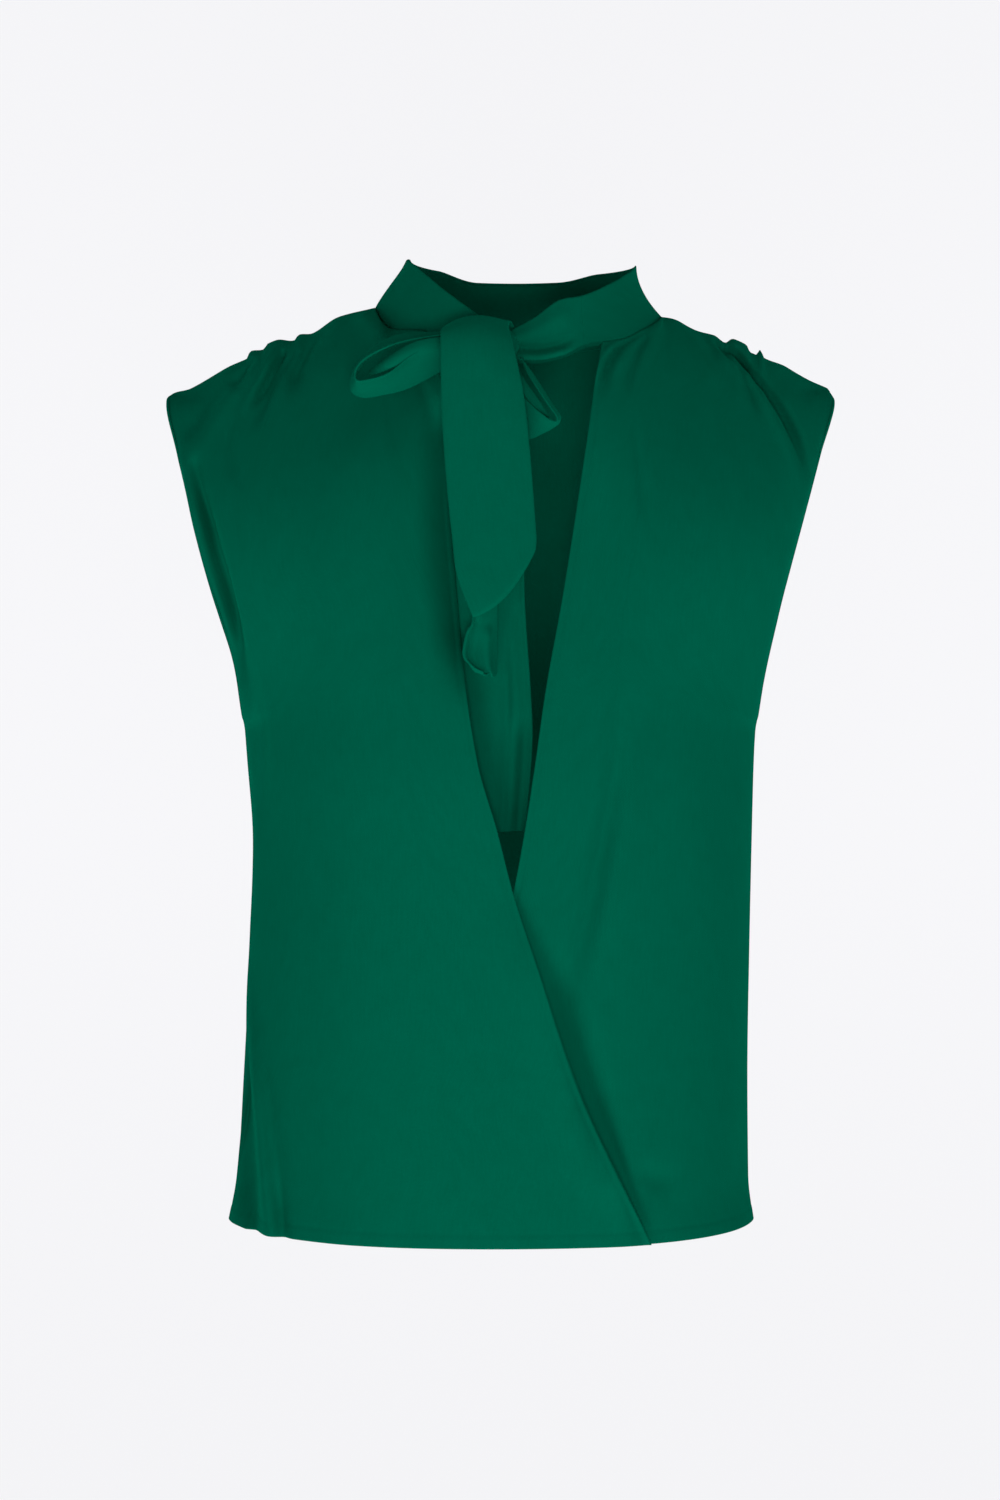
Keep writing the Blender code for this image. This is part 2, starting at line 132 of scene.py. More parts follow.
NECK_CENTRE = 12
NECK_HALF_WIDTH = 93
NECK_FRONT = 100
NECK_BACK = 78
Stand = namedtuple("Stand", "angle base top lean")
STANDS = (
    Stand(-168, -36.0, -18.0, 2),
    Stand(-150, -22.0, 1.9, 4),
    Stand(-135, -19.0, 16.5, 8),
    Stand(-120, -16.0, 26.9, 12),
    Stand(-90, 3.0, 33.3, 22),
    Stand(-45, -7.0, 32.2, 17),
    Stand(-20, -11.0, 26.4, 14),
    Stand(0, -12.0, 26.5, 13),
    Stand(20, -11.5, 26.6, 14),
    Stand(45, -9.0, 30.0, 17),
    Stand(90, -3.0, 29.8, 16.5),
    Stand(120, -15.5, 19.0, 13),
    Stand(135, -24.5, 11.0, 9),
    Stand(154, -31.0, 0.0, 5),
    Stand(163, -38.0, -3.0, 3),
    Stand(174, -41.5, -15.0, 2),
    Stand(184, -41.5, -24.0, 1),
)
OVER_NECK_END = -140
UNDER_NECK_END = 146
COLLAR_LEFT_END = -166.8
COLLAR_SEAM = 154
STRAP_END = 183
SEAM_GAP = 0.3

# Where the neckline ends and the shoulder seam starts, as a share of a panel's top edge
FRONT_NECK_SHARE = 5 / 17
BACK_NECK_SHARE = 10 / 34
EASE_ONTO_EDGE = 4

# The gathers in the shoulder seams: how far they lift the seam at each reach out from the middle
Seam = namedtuple("Seam", "reach rise")
LEFT_SEAM = (
    Seam(81, 0),
    Seam(103, 0),
    Seam(121, -1.8),
    Seam(130.5, 0.8),
    Seam(133, -2.0),
    Seam(145, 1.9),
    Seam(150.8, 1.2),
    Seam(153.2, -1.7),
    Seam(161.8, 0.5),
    Seam(164.2, -3.5),
    Seam(178, -2.1),
    Seam(201, -1.5),
    Seam(212, 0.8),
    Seam(216, 0),
)
RIGHT_SEAM = (
    Seam(105, 0),
    Seam(117, 3.4),
    Seam(127.5, 2.5),
    Seam(138.5, 3.2),
    Seam(145.6, 0.4),
    Seam(151.5, 4.8),
    Seam(159.6, 4.0),
    Seam(162.2, 0.0),
    Seam(166.2, 0.2),
    Seam(169.0, 4.8),
    Seam(171.2, 0.9),
    Seam(186.5, 3.9),
    Seam(201, 3.9),
    Seam(212.5, 4.4),
    Seam(216.5, 0),
)
GATHER_FADE = 16

# Creases, each along a line in the front view: aside is how far its middle bows to the right of the line,
# start is how strong it already is at its upper end; ridges are positive, troughs negative
Crease = namedtuple("Crease", "x1 z1 x2 z2 aside width depth start")
FRONT_CREASES = (
    # left shoulder
    Crease(-139, -29, -160, -68, 1, 2.5, -9.5, 0.7),
    Crease(-146, -30, -167, -74, 1, 3.0, 2.6, 0.6),
    Crease(-132, -29, -157, -84, -2, 3.0, -5.5, 0.5),
    Crease(-128, -26, -146, -74, -2, 3.0, 1.8, 0.6),
    Crease(-122, -24, -134, -58, 0, 4.0, -4.2, 0.4),
    Crease(-160, -35, -172, -54, 0, 4.0, -4.4, 0.9),
    Crease(-155, -34, -203, -108, -2, 6.4, 3.6, 0.6),
    Crease(-167, -38, -208, -96, -3, 6.0, -2.4, 0.6),
    Crease(-162, -33, -174, -54, 0, 3.0, -3.0, 0.9),
    Crease(-170, -70, -160, -122, -6, 3.8, -2.6, 0.1),
    Crease(-112, -15, -131, -60, -7, 4.5, -4.0, 0.4),
    Crease(-104, -10, -114, -66, -4, 7.0, 1.6, 0.4),
    Crease(-189, -46, -198, -92, 0, 11.0, -3.6, 0.8),
    # left side
    Crease(-202, -98, -168, -244, 0, 3.6, 8.0, 0.3),
    Crease(-194, -102, -160, -246, 0, 4.4, -15.0, 0.3),
    Crease(-178, -150, -156, -262, -4, 5.0, -9.0, 0.1),
    Crease(-156, -220, -156, -360, 4, 6.0, -6.0, 0.1),
    # left front beside the tie
    Crease(-86, -8, -64, -30, -2, 9.0, 6.0, 1.0),
    Crease(-74, -11, -66, -24, 0, 3.0, -2.4, 0.4),
    Crease(-67, -60, -65, -104, 0, 4.5, -1.3, 0.1),
    Crease(-52, -50, -43, -84, 2, 3.2, -2.0, 0.3),
    # left hem
    Crease(-163, -420, -141, -640, 2, 5.0, 10.0, 0.1),
    Crease(-172, -430, -154, -640, -1, 6.0, -16.0, 0.1),
    Crease(-140, -548, -134, -620, 0, 3.6, -5.0, 0.1),
    Crease(-160, -560, -166, -620, 0, 3.4, 5.0, 0.1),
    # right shoulder
    Crease(147, -25, 198, -116, 8, 3.1, -11.0, 0.8),
    Crease(141, -30, 191, -116, 8, 4.0, 3.2, 0.6),
    Crease(140, -22, 168, -74, 3, 2.6, -6.0, 0.7),
    Crease(131, -18, 143, -36, 0, 4.5, -3.0, 0.7),
    Crease(154, -30, 162, -42, 0, 3.2, -3.0, 0.9),
    Crease(160, -34, 188, -58, 2, 9.0, -2.6, 0.6),
    Crease(186, -44, 206, -60, 0, 7.0, -1.6, 0.6),
    Crease(120, -16, 138, -62, 2, 5.5, 1.6, 0.4),
    Crease(188, -106, 180, -170, -3, 6.0, -1.6, 0.2),
    # right neck
    Crease(91, -18, 63, -68, -8, 3.0, -5.4, 0.6),
    Crease(78, -22, 60, -60, -5, 2.8, 3.0, 0.7),
    Crease(86, -22, 71, -54, -4, 2.8, 3.0, 0.6),
    Crease(93, -22, 79, -64, -3, 2.8, -3.2, 0.6),
    Crease(84, -72, 90, -150, 0, 3.4, -1.6, 0.1),
    # right front, low
    Crease(76, -256, 34, -462, 5, 6.6, -4.4, 0.1),
    Crease(90, -270, 50, -440, 5, 10.0, 3.0, 0.1),
    Crease(28, -400, 72, -556, 1, 9.0, -10.0, 0.2),
    Crease(60, -500, 92, -600, 1, 4.6, -4.0, 0.2),
    Crease(80, -546, 114, -556, 0, 7.0, -1.8, 0.1),
    Crease(150, -520, 158, -594, 0, 6.0, -2.4, 0.2),
    Crease(128, -250, 146, -380, 2, 12, -1.4, 0.1),
    Crease(158, -226, 150, -330, -2, 8.0, -1.8, 0.2),
)
BACK_CREASES = (
    Crease(-118, -6, -146, -92, 2, 6.0, -3.6, 0.9),
    Crease(-132, -14, -168, -86, 0, 6.0, 2.8, 0.9),
    Crease(-148, -22, -184, -104, -2, 5.0, -3.4, 0.9),
    Crease(-160, -28, -196, -92, -2, 6.0, 2.6, 0.9),
    Crease(-104, 2, -116, -84, 4, 8.0, 2.0, 0.6),
    Crease(-176, -40, -202, -96, 0, 5.0, -2.6, 0.7),
    Crease(-188, -112, -160, -196, 3, 8.0, -3.0, 0.1),
    Crease(-168, -190, -130, -262, 4, 9.0, -2.4, 0.1),
    Crease(120, -6, 150, -100, -2, 5.5, -3.4, 0.9),
    Crease(134, -14, 168, -78, 0, 6.0, 2.6, 0.9),
    Crease(150, -24, 190, -112, 2, 5.0, -3.6, 0.9),
    Crease(166, -30, 198, -90, 0, 5.0, 2.4, 0.9),
    Crease(104, 0, 112, -76, -3, 8.0, 1.8, 0.6),
    Crease(184, -46, 204, -88, 0, 5.0, -2.2, 0.7),
    Crease(188, -110, 158, -204, -3, 8.0, -2.8, 0.1),
    Crease(166, -196, 126, -276, -4, 10, -2.6, 0.1),
    Crease(-60, -270, -92, -594, -4, 17, -4.8, 0.1),
    Crease(-104, -330, -128, -594, 2, 13, 3.4, 0.1),
    Crease(-22, -310, -34, -594, 4, 15, 3.2, 0.1),
    Crease(8, -250, 4, -594, 3, 20, -3.2, 0.1),
    Crease(48, -290, 74, -594, 4, 18, 4.2, 0.1),
    Crease(86, -340, 112, -594, -3, 12, -4.0, 0.1),
    Crease(132, -430, 146, -594, 0, 10, 3.0, 0.1),
    Crease(-20, -70, -66, -210, 6, 20, -2.0, 0.1),
    Crease(30, -64, 72, -200, -6, 18, -2.2, 0.1),
    Crease(-148, -300, -150, -440, -2, 9.0, -2.2, 0.1),
    Crease(150, -280, 152, -400, 2, 9.0, -2.0, 0.1),
)

# The edge of the over front rolls back beside the hanging tie
ROLL_TOP = -60
ROLL_BOTTOM = -262
ROLL_WIDTH = 27
ROLL_DEPTH = 20.0

# Lower down it hangs loose of the under front
LOOSE_TOP = -370
LOOSE_BOTTOM = -600
LOOSE_WIDTH = 34
LOOSE_RISE = 6.0

# Creases die out over this width beside the side seam, so that both its edges stay together
SEAM_CALM = 11.0

# Turned edges: width of the turning and how far it stands up; and the groove at a seam or a row of stitches
WRAP_TURNING = 3.0
ARMHOLE_TURNING = 5.0
HEM_TURNING = 8.0
TURNING_RELIEF = 0.35
GROOVE_WIDTH = 1.1
GROOVE_DEPTH = 0.45
STITCH_SHARE = 0.6


# Reading the tables

def hermite(a, b, leave, arrive, t):
    return a + (b - a) * t * t * (3 - 2 * t) + leave * t * (1 - t) ** 2 - arrive * t * t * (1 - t)


def reader(rows):
    """A function that gives a table's columns at any values of its first, on curves that never overshoot."""
    table = np.array(sorted(rows), float)
    keys, values = table[:, 0], table[:, 1:]
    rates = np.diff(values, axis=0) / np.diff(keys)[:, None]
    before, after = rates[:-1], rates[1:]
    turning = before * after <= 0
    inner = np.where(turning, 0, 2 * before * after / np.where(turning, 1, before + after))
    slopes = np.concatenate([rates[:1], inner, rates[-1:]])

    def at(key):
        key = np.clip(key, keys[0], keys[-1])
        i = np.clip(np.searchsorted(keys, key, side="right") - 1, 0, len(keys) - 2)
        step = (keys[i + 1] - keys[i])[..., None]
        t = (key - keys[i])[..., None] / step
        columns = hermite(values[i], values[i + 1], slopes[i] * step, slopes[i + 1] * step, t)
        return np.moveaxis(columns, -1, 0)

    return at


section_at = reader(SECTIONS)
shoulder_at = reader(SHOULDERS)
wrap_at = reader(WRAPS)
stand_at = reader(STANDS)
left_seam_at = reader(LEFT_SEAM)
right_seam_at = reader(RIGHT_SEAM)


def lerp(a, b, t):
    return a + (b - a) * t


def smooth(t):
    t = np.clip(t, 0, 1)
    return t * t * (3 - 2 * t)


def bump(distance, width):
    return np.exp(-((distance / width) ** 2))


# The neck, the shoulders and the form

def neck_points(angle, up=0.0):
    """Points of the stand collar: up is 0 on its seam with the body and 1 on its top edge."""
    angle = np.asarray(angle, float)
    base, top, lean = stand_at(angle)
    turn = np.radians(angle)
    depth = np.where(np.abs(angle) < 90, NECK_BACK, NECK_FRONT)
    flare = lerp(up**1.15, 1 - (1 - up) ** 1.9, (1 + np.sin(turn)) / 2)
    x = NECK_CENTRE + (NECK_HALF_WIDTH - lean * flare) * np.sin(turn)
    y = (depth - lean * flare) * np.cos(turn)
    return np.stack([x, y, lerp(base, top, up)], -1)


def seam_rise(x):
    """How far the gathers lift the shoulder seam."""
    return np.where(x < 0, left_seam_at(-x)[0], right_seam_at(x)[0])


def shoulder_line(side, shares):
    start = abs(neck_points(90 * side)[0])
    left, right, _, _ = section_at(np.float64(SHOULDER_TIP))
    tip = right if side > 0 else left
    reach = lerp(start, tip, shares)
    return np.stack([side * reach, 0 * reach, shoulder_at(reach)[0]], -1)


def half_width(x, height):
    left, right, _, _ = section_at(height)
    return np.where(x > 0, right, left)


def hem_height(x):
    across = np.minimum(1, np.abs(x) / half_width(x, np.full_like(x, HEM_AT_SIDES)))
    return HEM_AT_SIDES - HEM_DIP * np.sqrt(1 - across**FULLNESS)


def form_depth(x, height, top, front):
    """How far the cloth stands before or behind the side seams, on columns that hang from top."""
    left, right, deep_front, deep_back = section_at(height)
    deepest = deep_front if front else deep_back
    hole_middle, hole_radius = (SHOULDER_TIP + UNDERARM) / 2, (SHOULDER_TIP - UNDERARM) / 2
    hole = np.maximum(0, 1 - ((height - hole_middle) / hole_radius) ** 2)
    across = np.minimum(1, np.abs(x) / np.where(x > 0, right, left))
    edge = lerp(hole**2.2, hole**0.5, across**12) * (ARMHOLE_REACH_FRONT if front else ARMHOLE_REACH_BACK)
    roundness = np.sqrt(1 - across**FULLNESS)
    start = np.abs(top[:, 1])
    neckness = np.minimum(1, start / NECK_BACK)
    drop = lerp(SHOULDER_DROP, NECK_DROP, neckness)
    power = lerp(SHOULDER_ROUNDING, NECK_ROUNDING, neckness)
    fallen = np.clip((top[:, 2] - height) / drop, 0, 1)
    rise = (1 - (1 - fallen) ** 2) ** power
    return edge + start + ((deepest - edge) * roundness - start) * rise


def crease_lift(x, height, creases):
    """How far the creases lift the cloth off its form."""
    lift = np.zeros_like(x)
    for crease in creases:
        run = np.array([crease.x2 - crease.x1, crease.z2 - crease.z1], float)
        length = np.hypot(*run)
        along = ((x - crease.x1) * run[0] + (height - crease.z1) * run[1]) / length**2
        aside = ((height - crease.z1) * run[0] - (x - crease.x1) * run[1]) / length
        inside = np.clip(along, 0, 1)
        aside = aside - crease.aside * 4 * inside * (1 - inside)
        past = (along - inside) * length
        fade = smooth(inside / 0.45 + crease.start) * smooth((1 - inside) / 0.4)
        lift += crease.depth * fade * bump(np.hypot(aside, past), crease.width * (0.75 + 0.5 * inside))
    return lift


# Panels

def grid_normals(grid):
    """Unit normals of a grid of points, on the side away from the body's middle."""
    normals = np.cross(np.gradient(grid, axis=0), np.gradient(grid, axis=1))
    normals /= np.maximum(np.linalg.norm(normals, axis=-1, keepdims=True), 1e-9)
    if (normals * grid)[..., :2].sum() < 0:
        normals = -normals
    return normals


def run_length(grid, axis):
    """How far each point lies along its row or column, measured on the cloth."""
    steps = np.linalg.norm(np.diff(grid, axis=axis), axis=-1)
    return np.insert(np.cumsum(steps, axis=axis), 0, 0, axis=axis)


def panel_plan(top, inner, outer, shares, falls):
    """The panel in front view, as rows of (x, z): a surface blended from its four edges."""
    def side_edge(start, line):
        foot = hem_height(line(np.array(float(HEM_AT_SIDES))))
        height = lerp(start[2], foot, falls)
        miss = start[0] - line(np.array(start[2]))
        return np.stack([line(height) + miss * (1 - falls) ** EASE_ONTO_EDGE, height], -1)

    first, last = side_edge(top[0], inner), side_edge(top[-1], outer)
    hem_x = lerp(first[-1, 0], last[-1, 0], shares)
    hem = np.stack([hem_x, hem_height(hem_x)], -1)
    top_edge = top[:, [0, 2]]
    across, down = shares[:, None], falls[:, None, None]
    corners = lerp(lerp(top_edge[0], top_edge[-1], across), lerp(first[-1], last[-1], across), down)
    return lerp(first[:, None], last[:, None], across) + lerp(top_edge, hem, down) - corners


def turning(distance, width):
    """The relief of a turned edge: a flat rise that ends in a groove at its stitches."""
    stitches = STITCH_SHARE * GROOVE_DEPTH * bump(distance - width, GROOVE_WIDTH)
    return TURNING_RELIEF * smooth(width + 0.6 - distance) - stitches


def fall_fractions():
    """A panel's rows: closer at both ends of the armhole, and closest at the hem."""
    hole = np.linspace(0, 1, 84)
    hole = lerp(hole, (1 - np.cos(np.pi * hole)) / 2, 0.8)
    share = (SHOULDER_TIP - UNDERARM) / (SHOULDER_TIP - HEM_AT_SIDES)
    hem_run = SHOULDER_TIP - HEM_AT_SIDES
    hem_rows = 1 - np.array([12, 10, 9, 8, 7, 5.5, 4, 2, 0.8, 0]) / hem_run
    return np.concatenate([hole * share, np.linspace(share, hem_rows[0], 88)[1:-1], hem_rows])


def eased(grid, share, passes=90):
    """The grid smoothed along its rows, by share at each point: no kink below the neck point."""
    for _ in range(passes):
        middle = (grid[:, :-2] + 2 * grid[:, 1:-1] + grid[:, 2:]) / 4
        grid[:, 1:-1] = lerp(grid[:, 1:-1], middle, share[:, 1:-1, None])
    return grid


# Creases push the cloth along its normal, leant this far forward, or backward on the back panel, so that they
# show where it curves steeply away
FORWARD_LEAN = 3.0

Place = namedtuple("Place", "x height fallen inner outer")


def placed(plan, top, front, shares, lift):
    """The plan's points on the body's form, lifted mostly forward (or back) by lift(place)."""
    x, height = plan[..., 0], plan[..., 1]
    depth = form_depth(x, height, top, front) + SEAM_GAP / 2
    grid = np.stack([x, -depth if front else depth, height], -1)
    fallen = top[:, 2] - height
    grid = eased(grid, smooth(fallen / 45) * shares)
    normals = grid_normals(grid)
    inner = run_length(grid, 1)
    outer = inner[:, -1:] - inner
    place = Place(grid[..., 0], grid[..., 2], fallen, inner, outer)
    held = smooth(fallen / 6) * smooth(np.abs(grid[..., 1]) / 14)
    above_hem = grid[..., 2] - grid[-1, :, 2]
    edges = 0.5 * turning(above_hem, HEM_TURNING)
    for distance in (outer,) if front else (inner, outer):
        in_hole = smooth((place.height - UNDERARM) / 6)
        seam = -GROOVE_DEPTH * bump(distance, GROOVE_WIDTH)
        edges = edges + lerp(seam, turning(distance, ARMHOLE_TURNING), in_hole)
    forward = normals + [0, -FORWARD_LEAN if front else FORWARD_LEAN, 0]
    forward /= np.linalg.norm(forward, axis=-1, keepdims=True)
    grid = grid + forward * (lift(place) * held)[..., None]
    grid = grid + normals * (edges * smooth(fallen / 3))[..., None]
    gathered = np.abs(top[:, 1]) < SEAM_GAP
    grid[..., 2] += seam_rise(place.x) * np.exp(-np.maximum(0, fallen) / GATHER_FADE) * gathered
    return grid


SHOULDER_COLUMNS = 92


def with_allowances(grid, side):
    """A front with its edges turned in: under the back at its seams, and onto itself at the armhole."""
    sewn = smooth((UNDERARM - grid[:, -1:, 2]) / 8)
    turns = ((0.9, 0.0), (1.7, 0.9), (1.8, 5.0))
    columns = [
        grid[:, -1:] + np.stack([0 * sewn - side * inward, lerp(-reach, reach, sewn), 0 * sewn], -1)
        for inward, reach in turns
    ]
    grid = np.concatenate([grid, *columns], 1)
    at_shoulder = smooth(1 - np.abs(grid[0, :, 1]) / 8)
    rows = [
        grid[:1] + np.stack([0 * at_shoulder, reach * at_shoulder, -inward * (0.2 + at_shoulder)], -1)
        for inward, reach in turns[::-1]
    ]
    return np.concatenate([*rows, grid])


def front_panel(side, neck_end, edge_name):
    edge_columns = np.array([0, 0.003, 0.006, 0.010, 0.014, 0.018, 0.024, 0.03])
    neck_u = np.linspace(edge_columns[-1], FRONT_NECK_SHARE, 26)[1:]
    shoulder_u = np.linspace(FRONT_NECK_SHARE, 1, SHOULDER_COLUMNS)[1:]
    u = np.concatenate([edge_columns, neck_u, shoulder_u])
    neck = neck_points(lerp(neck_end, 90 * side, np.minimum(1, u / FRONT_NECK_SHARE)))
    shoulder = shoulder_line(side, np.maximum(0, (u - FRONT_NECK_SHARE) / (1 - FRONT_NECK_SHARE)))
    top = np.where((u <= FRONT_NECK_SHARE)[:, None], neck, shoulder)
    column = 0 if edge_name == "over" else 1

    def wrap_edge(height):
        return wrap_at(height)[column]

    def side_edge(height):
        return side * half_width(np.float64(side), height)

    def lift(place):
        below_arm = smooth((UNDERARM - place.height) / 30)
        calm = lerp(1, smooth(place.outer / SEAM_CALM), below_arm)
        out = calm * crease_lift(place.x, place.height, FRONT_CREASES)
        out += 2 * turning(place.inner, WRAP_TURNING)
        if edge_name == "over":
            out += LAP_STEP * smooth((place.x - LAP_START) / LAP_RAMP) * smooth(place.fallen / LAP_FALL)
            beside_tie = smooth((ROLL_TOP - place.height) / 30) * smooth((place.height - ROLL_BOTTOM) / 60)
            out -= ROLL_DEPTH * np.clip(1 - place.inner / ROLL_WIDTH, 0, 1) ** 2 * beside_tie
            loose = smooth((LOOSE_TOP - place.height) / 60) * smooth((place.height - LOOSE_BOTTOM) / 50)
            out += LOOSE_RISE * np.clip(1 - place.inner / LOOSE_WIDTH, 0, 1) ** 1.5 * loose
        return out

    plan = panel_plan(top, wrap_edge, side_edge, np.sin(np.pi / 2 * u), fall_fractions())
    shares = smooth((u - 0.04) / 0.08) * smooth((0.97 - u) / 0.1)
    return with_allowances(placed(plan, top, True, shares, lift), side)


def back_panel():
    shoulder_share = (1 - BACK_NECK_SHARE) / 2
    left_u = np.linspace(0, shoulder_share, SHOULDER_COLUMNS)
    u = np.concatenate([left_u, np.linspace(shoulder_share, 1 - shoulder_share, 37)[1:-1], 1 - left_u[::-1]])
    along = np.clip((u - shoulder_share) / BACK_NECK_SHARE, 0, 1)
    neck = neck_points(lerp(-90, 90, along))
    left = shoulder_line(-1, np.maximum(0, 1 - u / shoulder_share))
    right = shoulder_line(1, np.maximum(0, 1 - (1 - u) / shoulder_share))
    top = np.where((along <= 0)[:, None], left, np.where((along >= 1)[:, None], right, neck))
    plan = panel_plan(
        top,
        lambda height: -half_width(np.float64(-1), height),
        lambda height: half_width(np.float64(1), height),
        (1 - np.cos(np.pi * u)) / 2,
        fall_fractions(),
    )
    shares = smooth((u - 0.02) / 0.06) * smooth((0.98 - u) / 0.06)
    return placed(plan, top, False, shares, lambda place: crease_lift(place.x, place.height, BACK_CREASES))


# Collar and tie

TOP_TURN = 1.2
LIP_HEIGHT = 6
LIP_REACH = 2.6
# How far in and how far down the seam's turning lies inside the neck, and the top fold's way in and up
SEAM_TURNS = ((1.6, 7), (1.4, 3), (1.1, 0.15))
TOP_FOLDS = ((0.25, 0.45), (0.7, 0.75))


def stand_band(angles, rows, lip=False):
    """A stretch of the stand collar, from its seam up to its folded top, with its turning inside the neck."""
    ups = np.linspace(0, 1, rows)
    grid = np.stack([neck_points(angles, up) for up in ups])
    turn = np.radians(angles)
    outward = np.stack([np.sin(turn), np.cos(turn), 0 * turn], -1)
    height = grid[-1, :, 2] - grid[0, :, 2]
    from_seam = (angles - COLLAR_SEAM) * np.radians(NECK_FRONT)
    out = -0.2 * GROOVE_DEPTH * bump(from_seam, GROOVE_WIDTH) * np.ones((rows, 1))
    if lip:
        above = ups[:, None] * height
        tucked = smooth((angles - COLLAR_SEAM - 2) / 9)
        out += LIP_REACH * tucked * bump(above - 0.45 * LIP_HEIGHT, 2.8)
        out -= LIP_REACH * tucked * bump(above - LIP_HEIGHT - 2, 2.4)
        out += LIP_REACH * tucked * bump(ups[:, None] - 0.72, 0.22)
        out -= 1.2 * bump(angles - 172, 4) * ups[:, None]
    grid = grid + outward * out[..., None]
    sewn = (smooth((angles - OVER_NECK_END) / 9) * smooth((UNDER_NECK_END - angles) / 6))[:, None]
    turnings = [grid[0] - sewn * (outward * reach + [0, 0, drop]) for reach, drop in SEAM_TURNS]
    folds = [grid[-1] - outward * TOP_TURN * reach + [0, 0, lift] for reach, lift in TOP_FOLDS]
    return np.concatenate([turnings, grid, folds])


Band = namedtuple("Band", "x1 y1 z1 x2 y2 z2 bulge drop")
# Folds along a band: where they lie across it, from 0 to 1, and how far they run down it, from 0 to 1
Pleat = namedtuple("Pleat", "across width depth first last")
TAIL_FRONT = (
    Band(-26.0, -101.5, -21.5, 9.0, -98.5, -20.1, 0, 0),
    Band(-31.0, -109.0, -20.5, 7.0, -107.0, -18.0, 1, -1),
    Band(-35.5, -121.0, -24.0, 5.5, -118.0, -23.0, 3, -4),
    Band(-36.8, -133.0, -31.0, 8.5, -129.0, -36.0, 4, 0),
    Band(-36.2, -137.0, -66.0, 15.0, -134.5, -68.0, 3, 0),
    Band(-33.7, -138.0, -110.5, 19.3, -136.5, -110.5, 2, 0),
    Band(-29.4, -138.0, -155.3, 22.0, -137.0, -146.0, 2, 2),
    Band(-26.5, -138.0, -177.0, 22.5, -137.0, -154.0, 2, 5),
    Band(-17.5, -138.0, -201.0, 22.0, -137.0, -160.0, 2, 7),
    Band(-17.0, -136.4, -199.4, 20.6, -135.4, -159.2, 2, 6),
)
TAIL_TIP = (
    Band(-20.0, -133.6, -184.0, -1.8, -130.0, -180.0, 0, 0),
    Band(-17.3, -134.6, -203.0, -1.8, -125.0, -195.0, 1, 0),
    Band(-21.0, -134.8, -210.5, -1.8, -121.0, -206.0, 2, 0),
    Band(-23.6, -134.8, -221.0, -1.8, -119.0, -218.0, 2, 0),
    Band(-23.0, -134.8, -228.0, -1.8, -119.0, -228.5, 2, 0),
    Band(-17.0, -135.0, -234.5, -2.2, -120.5, -237.0, 1, 1),
    Band(-11.0, -135.0, -237.6, -4.0, -123.0, -239.2, 0, 0),
)
TAIL_TIP_PLEATS = (
    Pleat(0.04, 0.06, 1.6, 0.15, 1.30),
    Pleat(0.20, 0.09, -2.0, 0.15, 0.90),
    Pleat(0.62, 0.14, 2.2, 0.30, 1.20),
)
TAIL_BACK = (
    Band(-8.0, -103.0, -43.3, 12.0, -103.0, -43.3, 0, 0),
    Band(-20.0, -101.0, -75.0, 13.0, -101.0, -75.0, 1, 0),
    Band(-27.0, -103.0, -130.0, 15.0, -107.0, -130.0, 2, 0),
    Band(-28.0, -106.0, -190.0, 15.5, -111.0, -190.0, 2, 0),
    Band(-31.0, -108.0, -250.0, 19.5, -113.0, -250.0, 2, 0),
    Band(-34.0, -108.0, -284.0, 20.0, -109.0, -284.0, 2, 0),
    Band(-33.0, -107.0, -335.0, 16.0, -106.0, -335.0, 1, 0),
)
TAIL_BACK_PLEATS = (
    Pleat(0.90, 0.12, -6.0, 0.70, 1.30),
    Pleat(0.98, 0.03, 1.4, 0.30, 0.80),
    Pleat(0.70, 0.08, -2.6, 0.55, 1.20),
    Pleat(0.80, 0.07, 1.6, 0.50, 1.20),
)
LOOP_LEFT = (
    Band(-8.0, -111.0, -26.2, -7.7, -102.0, -25.7, 0, 0),
    Band(-30.0, -122.0, -27.5, -28.0, -106.0, -24.5, 1, 0),
    Band(-46.0, -129.0, -30.0, -46.0, -108.0, -24.7, 2, 0),
    Band(-62.0, -132.0, -33.6, -60.0, -110.0, -25.8, 2, 0),
    Band(-75.0, -133.0, -38.8, -73.0, -112.0, -30.8, 2, 0),
    Band(-84.5, -133.0, -44.6, -84.0, -113.0, -39.5, 2, 0),
    Band(-89.0, -132.5, -51.0, -91.0, -115.0, -50.0, 2, 0),
    Band(-88.0, -133.0, -57.0, -92.3, -118.0, -61.5, 2, 0),
    Band(-80.0, -134.0, -56.6, -85.0, -120.0, -66.5, 3, 0),
    Band(-68.0, -134.5, -52.6, -72.0, -121.0, -65.0, 3, 0),
    Band(-53.0, -134.0, -41.0, -58.0, -121.0, -61.5, 3, 0),
    Band(-40.0, -130.0, -36.2, -45.0, -119.0, -55.0, 2, 0),
    Band(-24.0, -121.0, -33.0, -27.0, -111.0, -44.0, 1, 0),
    Band(-7.0, -110.0, -36.8, -9.2, -103.5, -35.7, 0, 0),
)
LOOP_LEFT_FOLD = (
    Band(-10.0, -112.0, -28.0, -9.0, -113.0, -33.5, 0, 0),
    Band(-28.0, -121.0, -28.8, -27.0, -122.0, -35.0, 1, 0),
    Band(-42.0, -129.0, -30.6, -41.0, -130.0, -39.0, 1, 0),
    Band(-53.0, -131.5, -33.6, -53.0, -132.5, -42.6, 1.5, 0),
    Band(-64.0, -132.0, -39.6, -66.0, -133.0, -49.2, 2, 0),
    Band(-72.0, -129.0, -45.0, -74.0, -130.0, -52.2, 1.5, 0),
    Band(-80.5, -123.0, -50.5, -80.5, -124.0, -53.0, 0, 0),
)
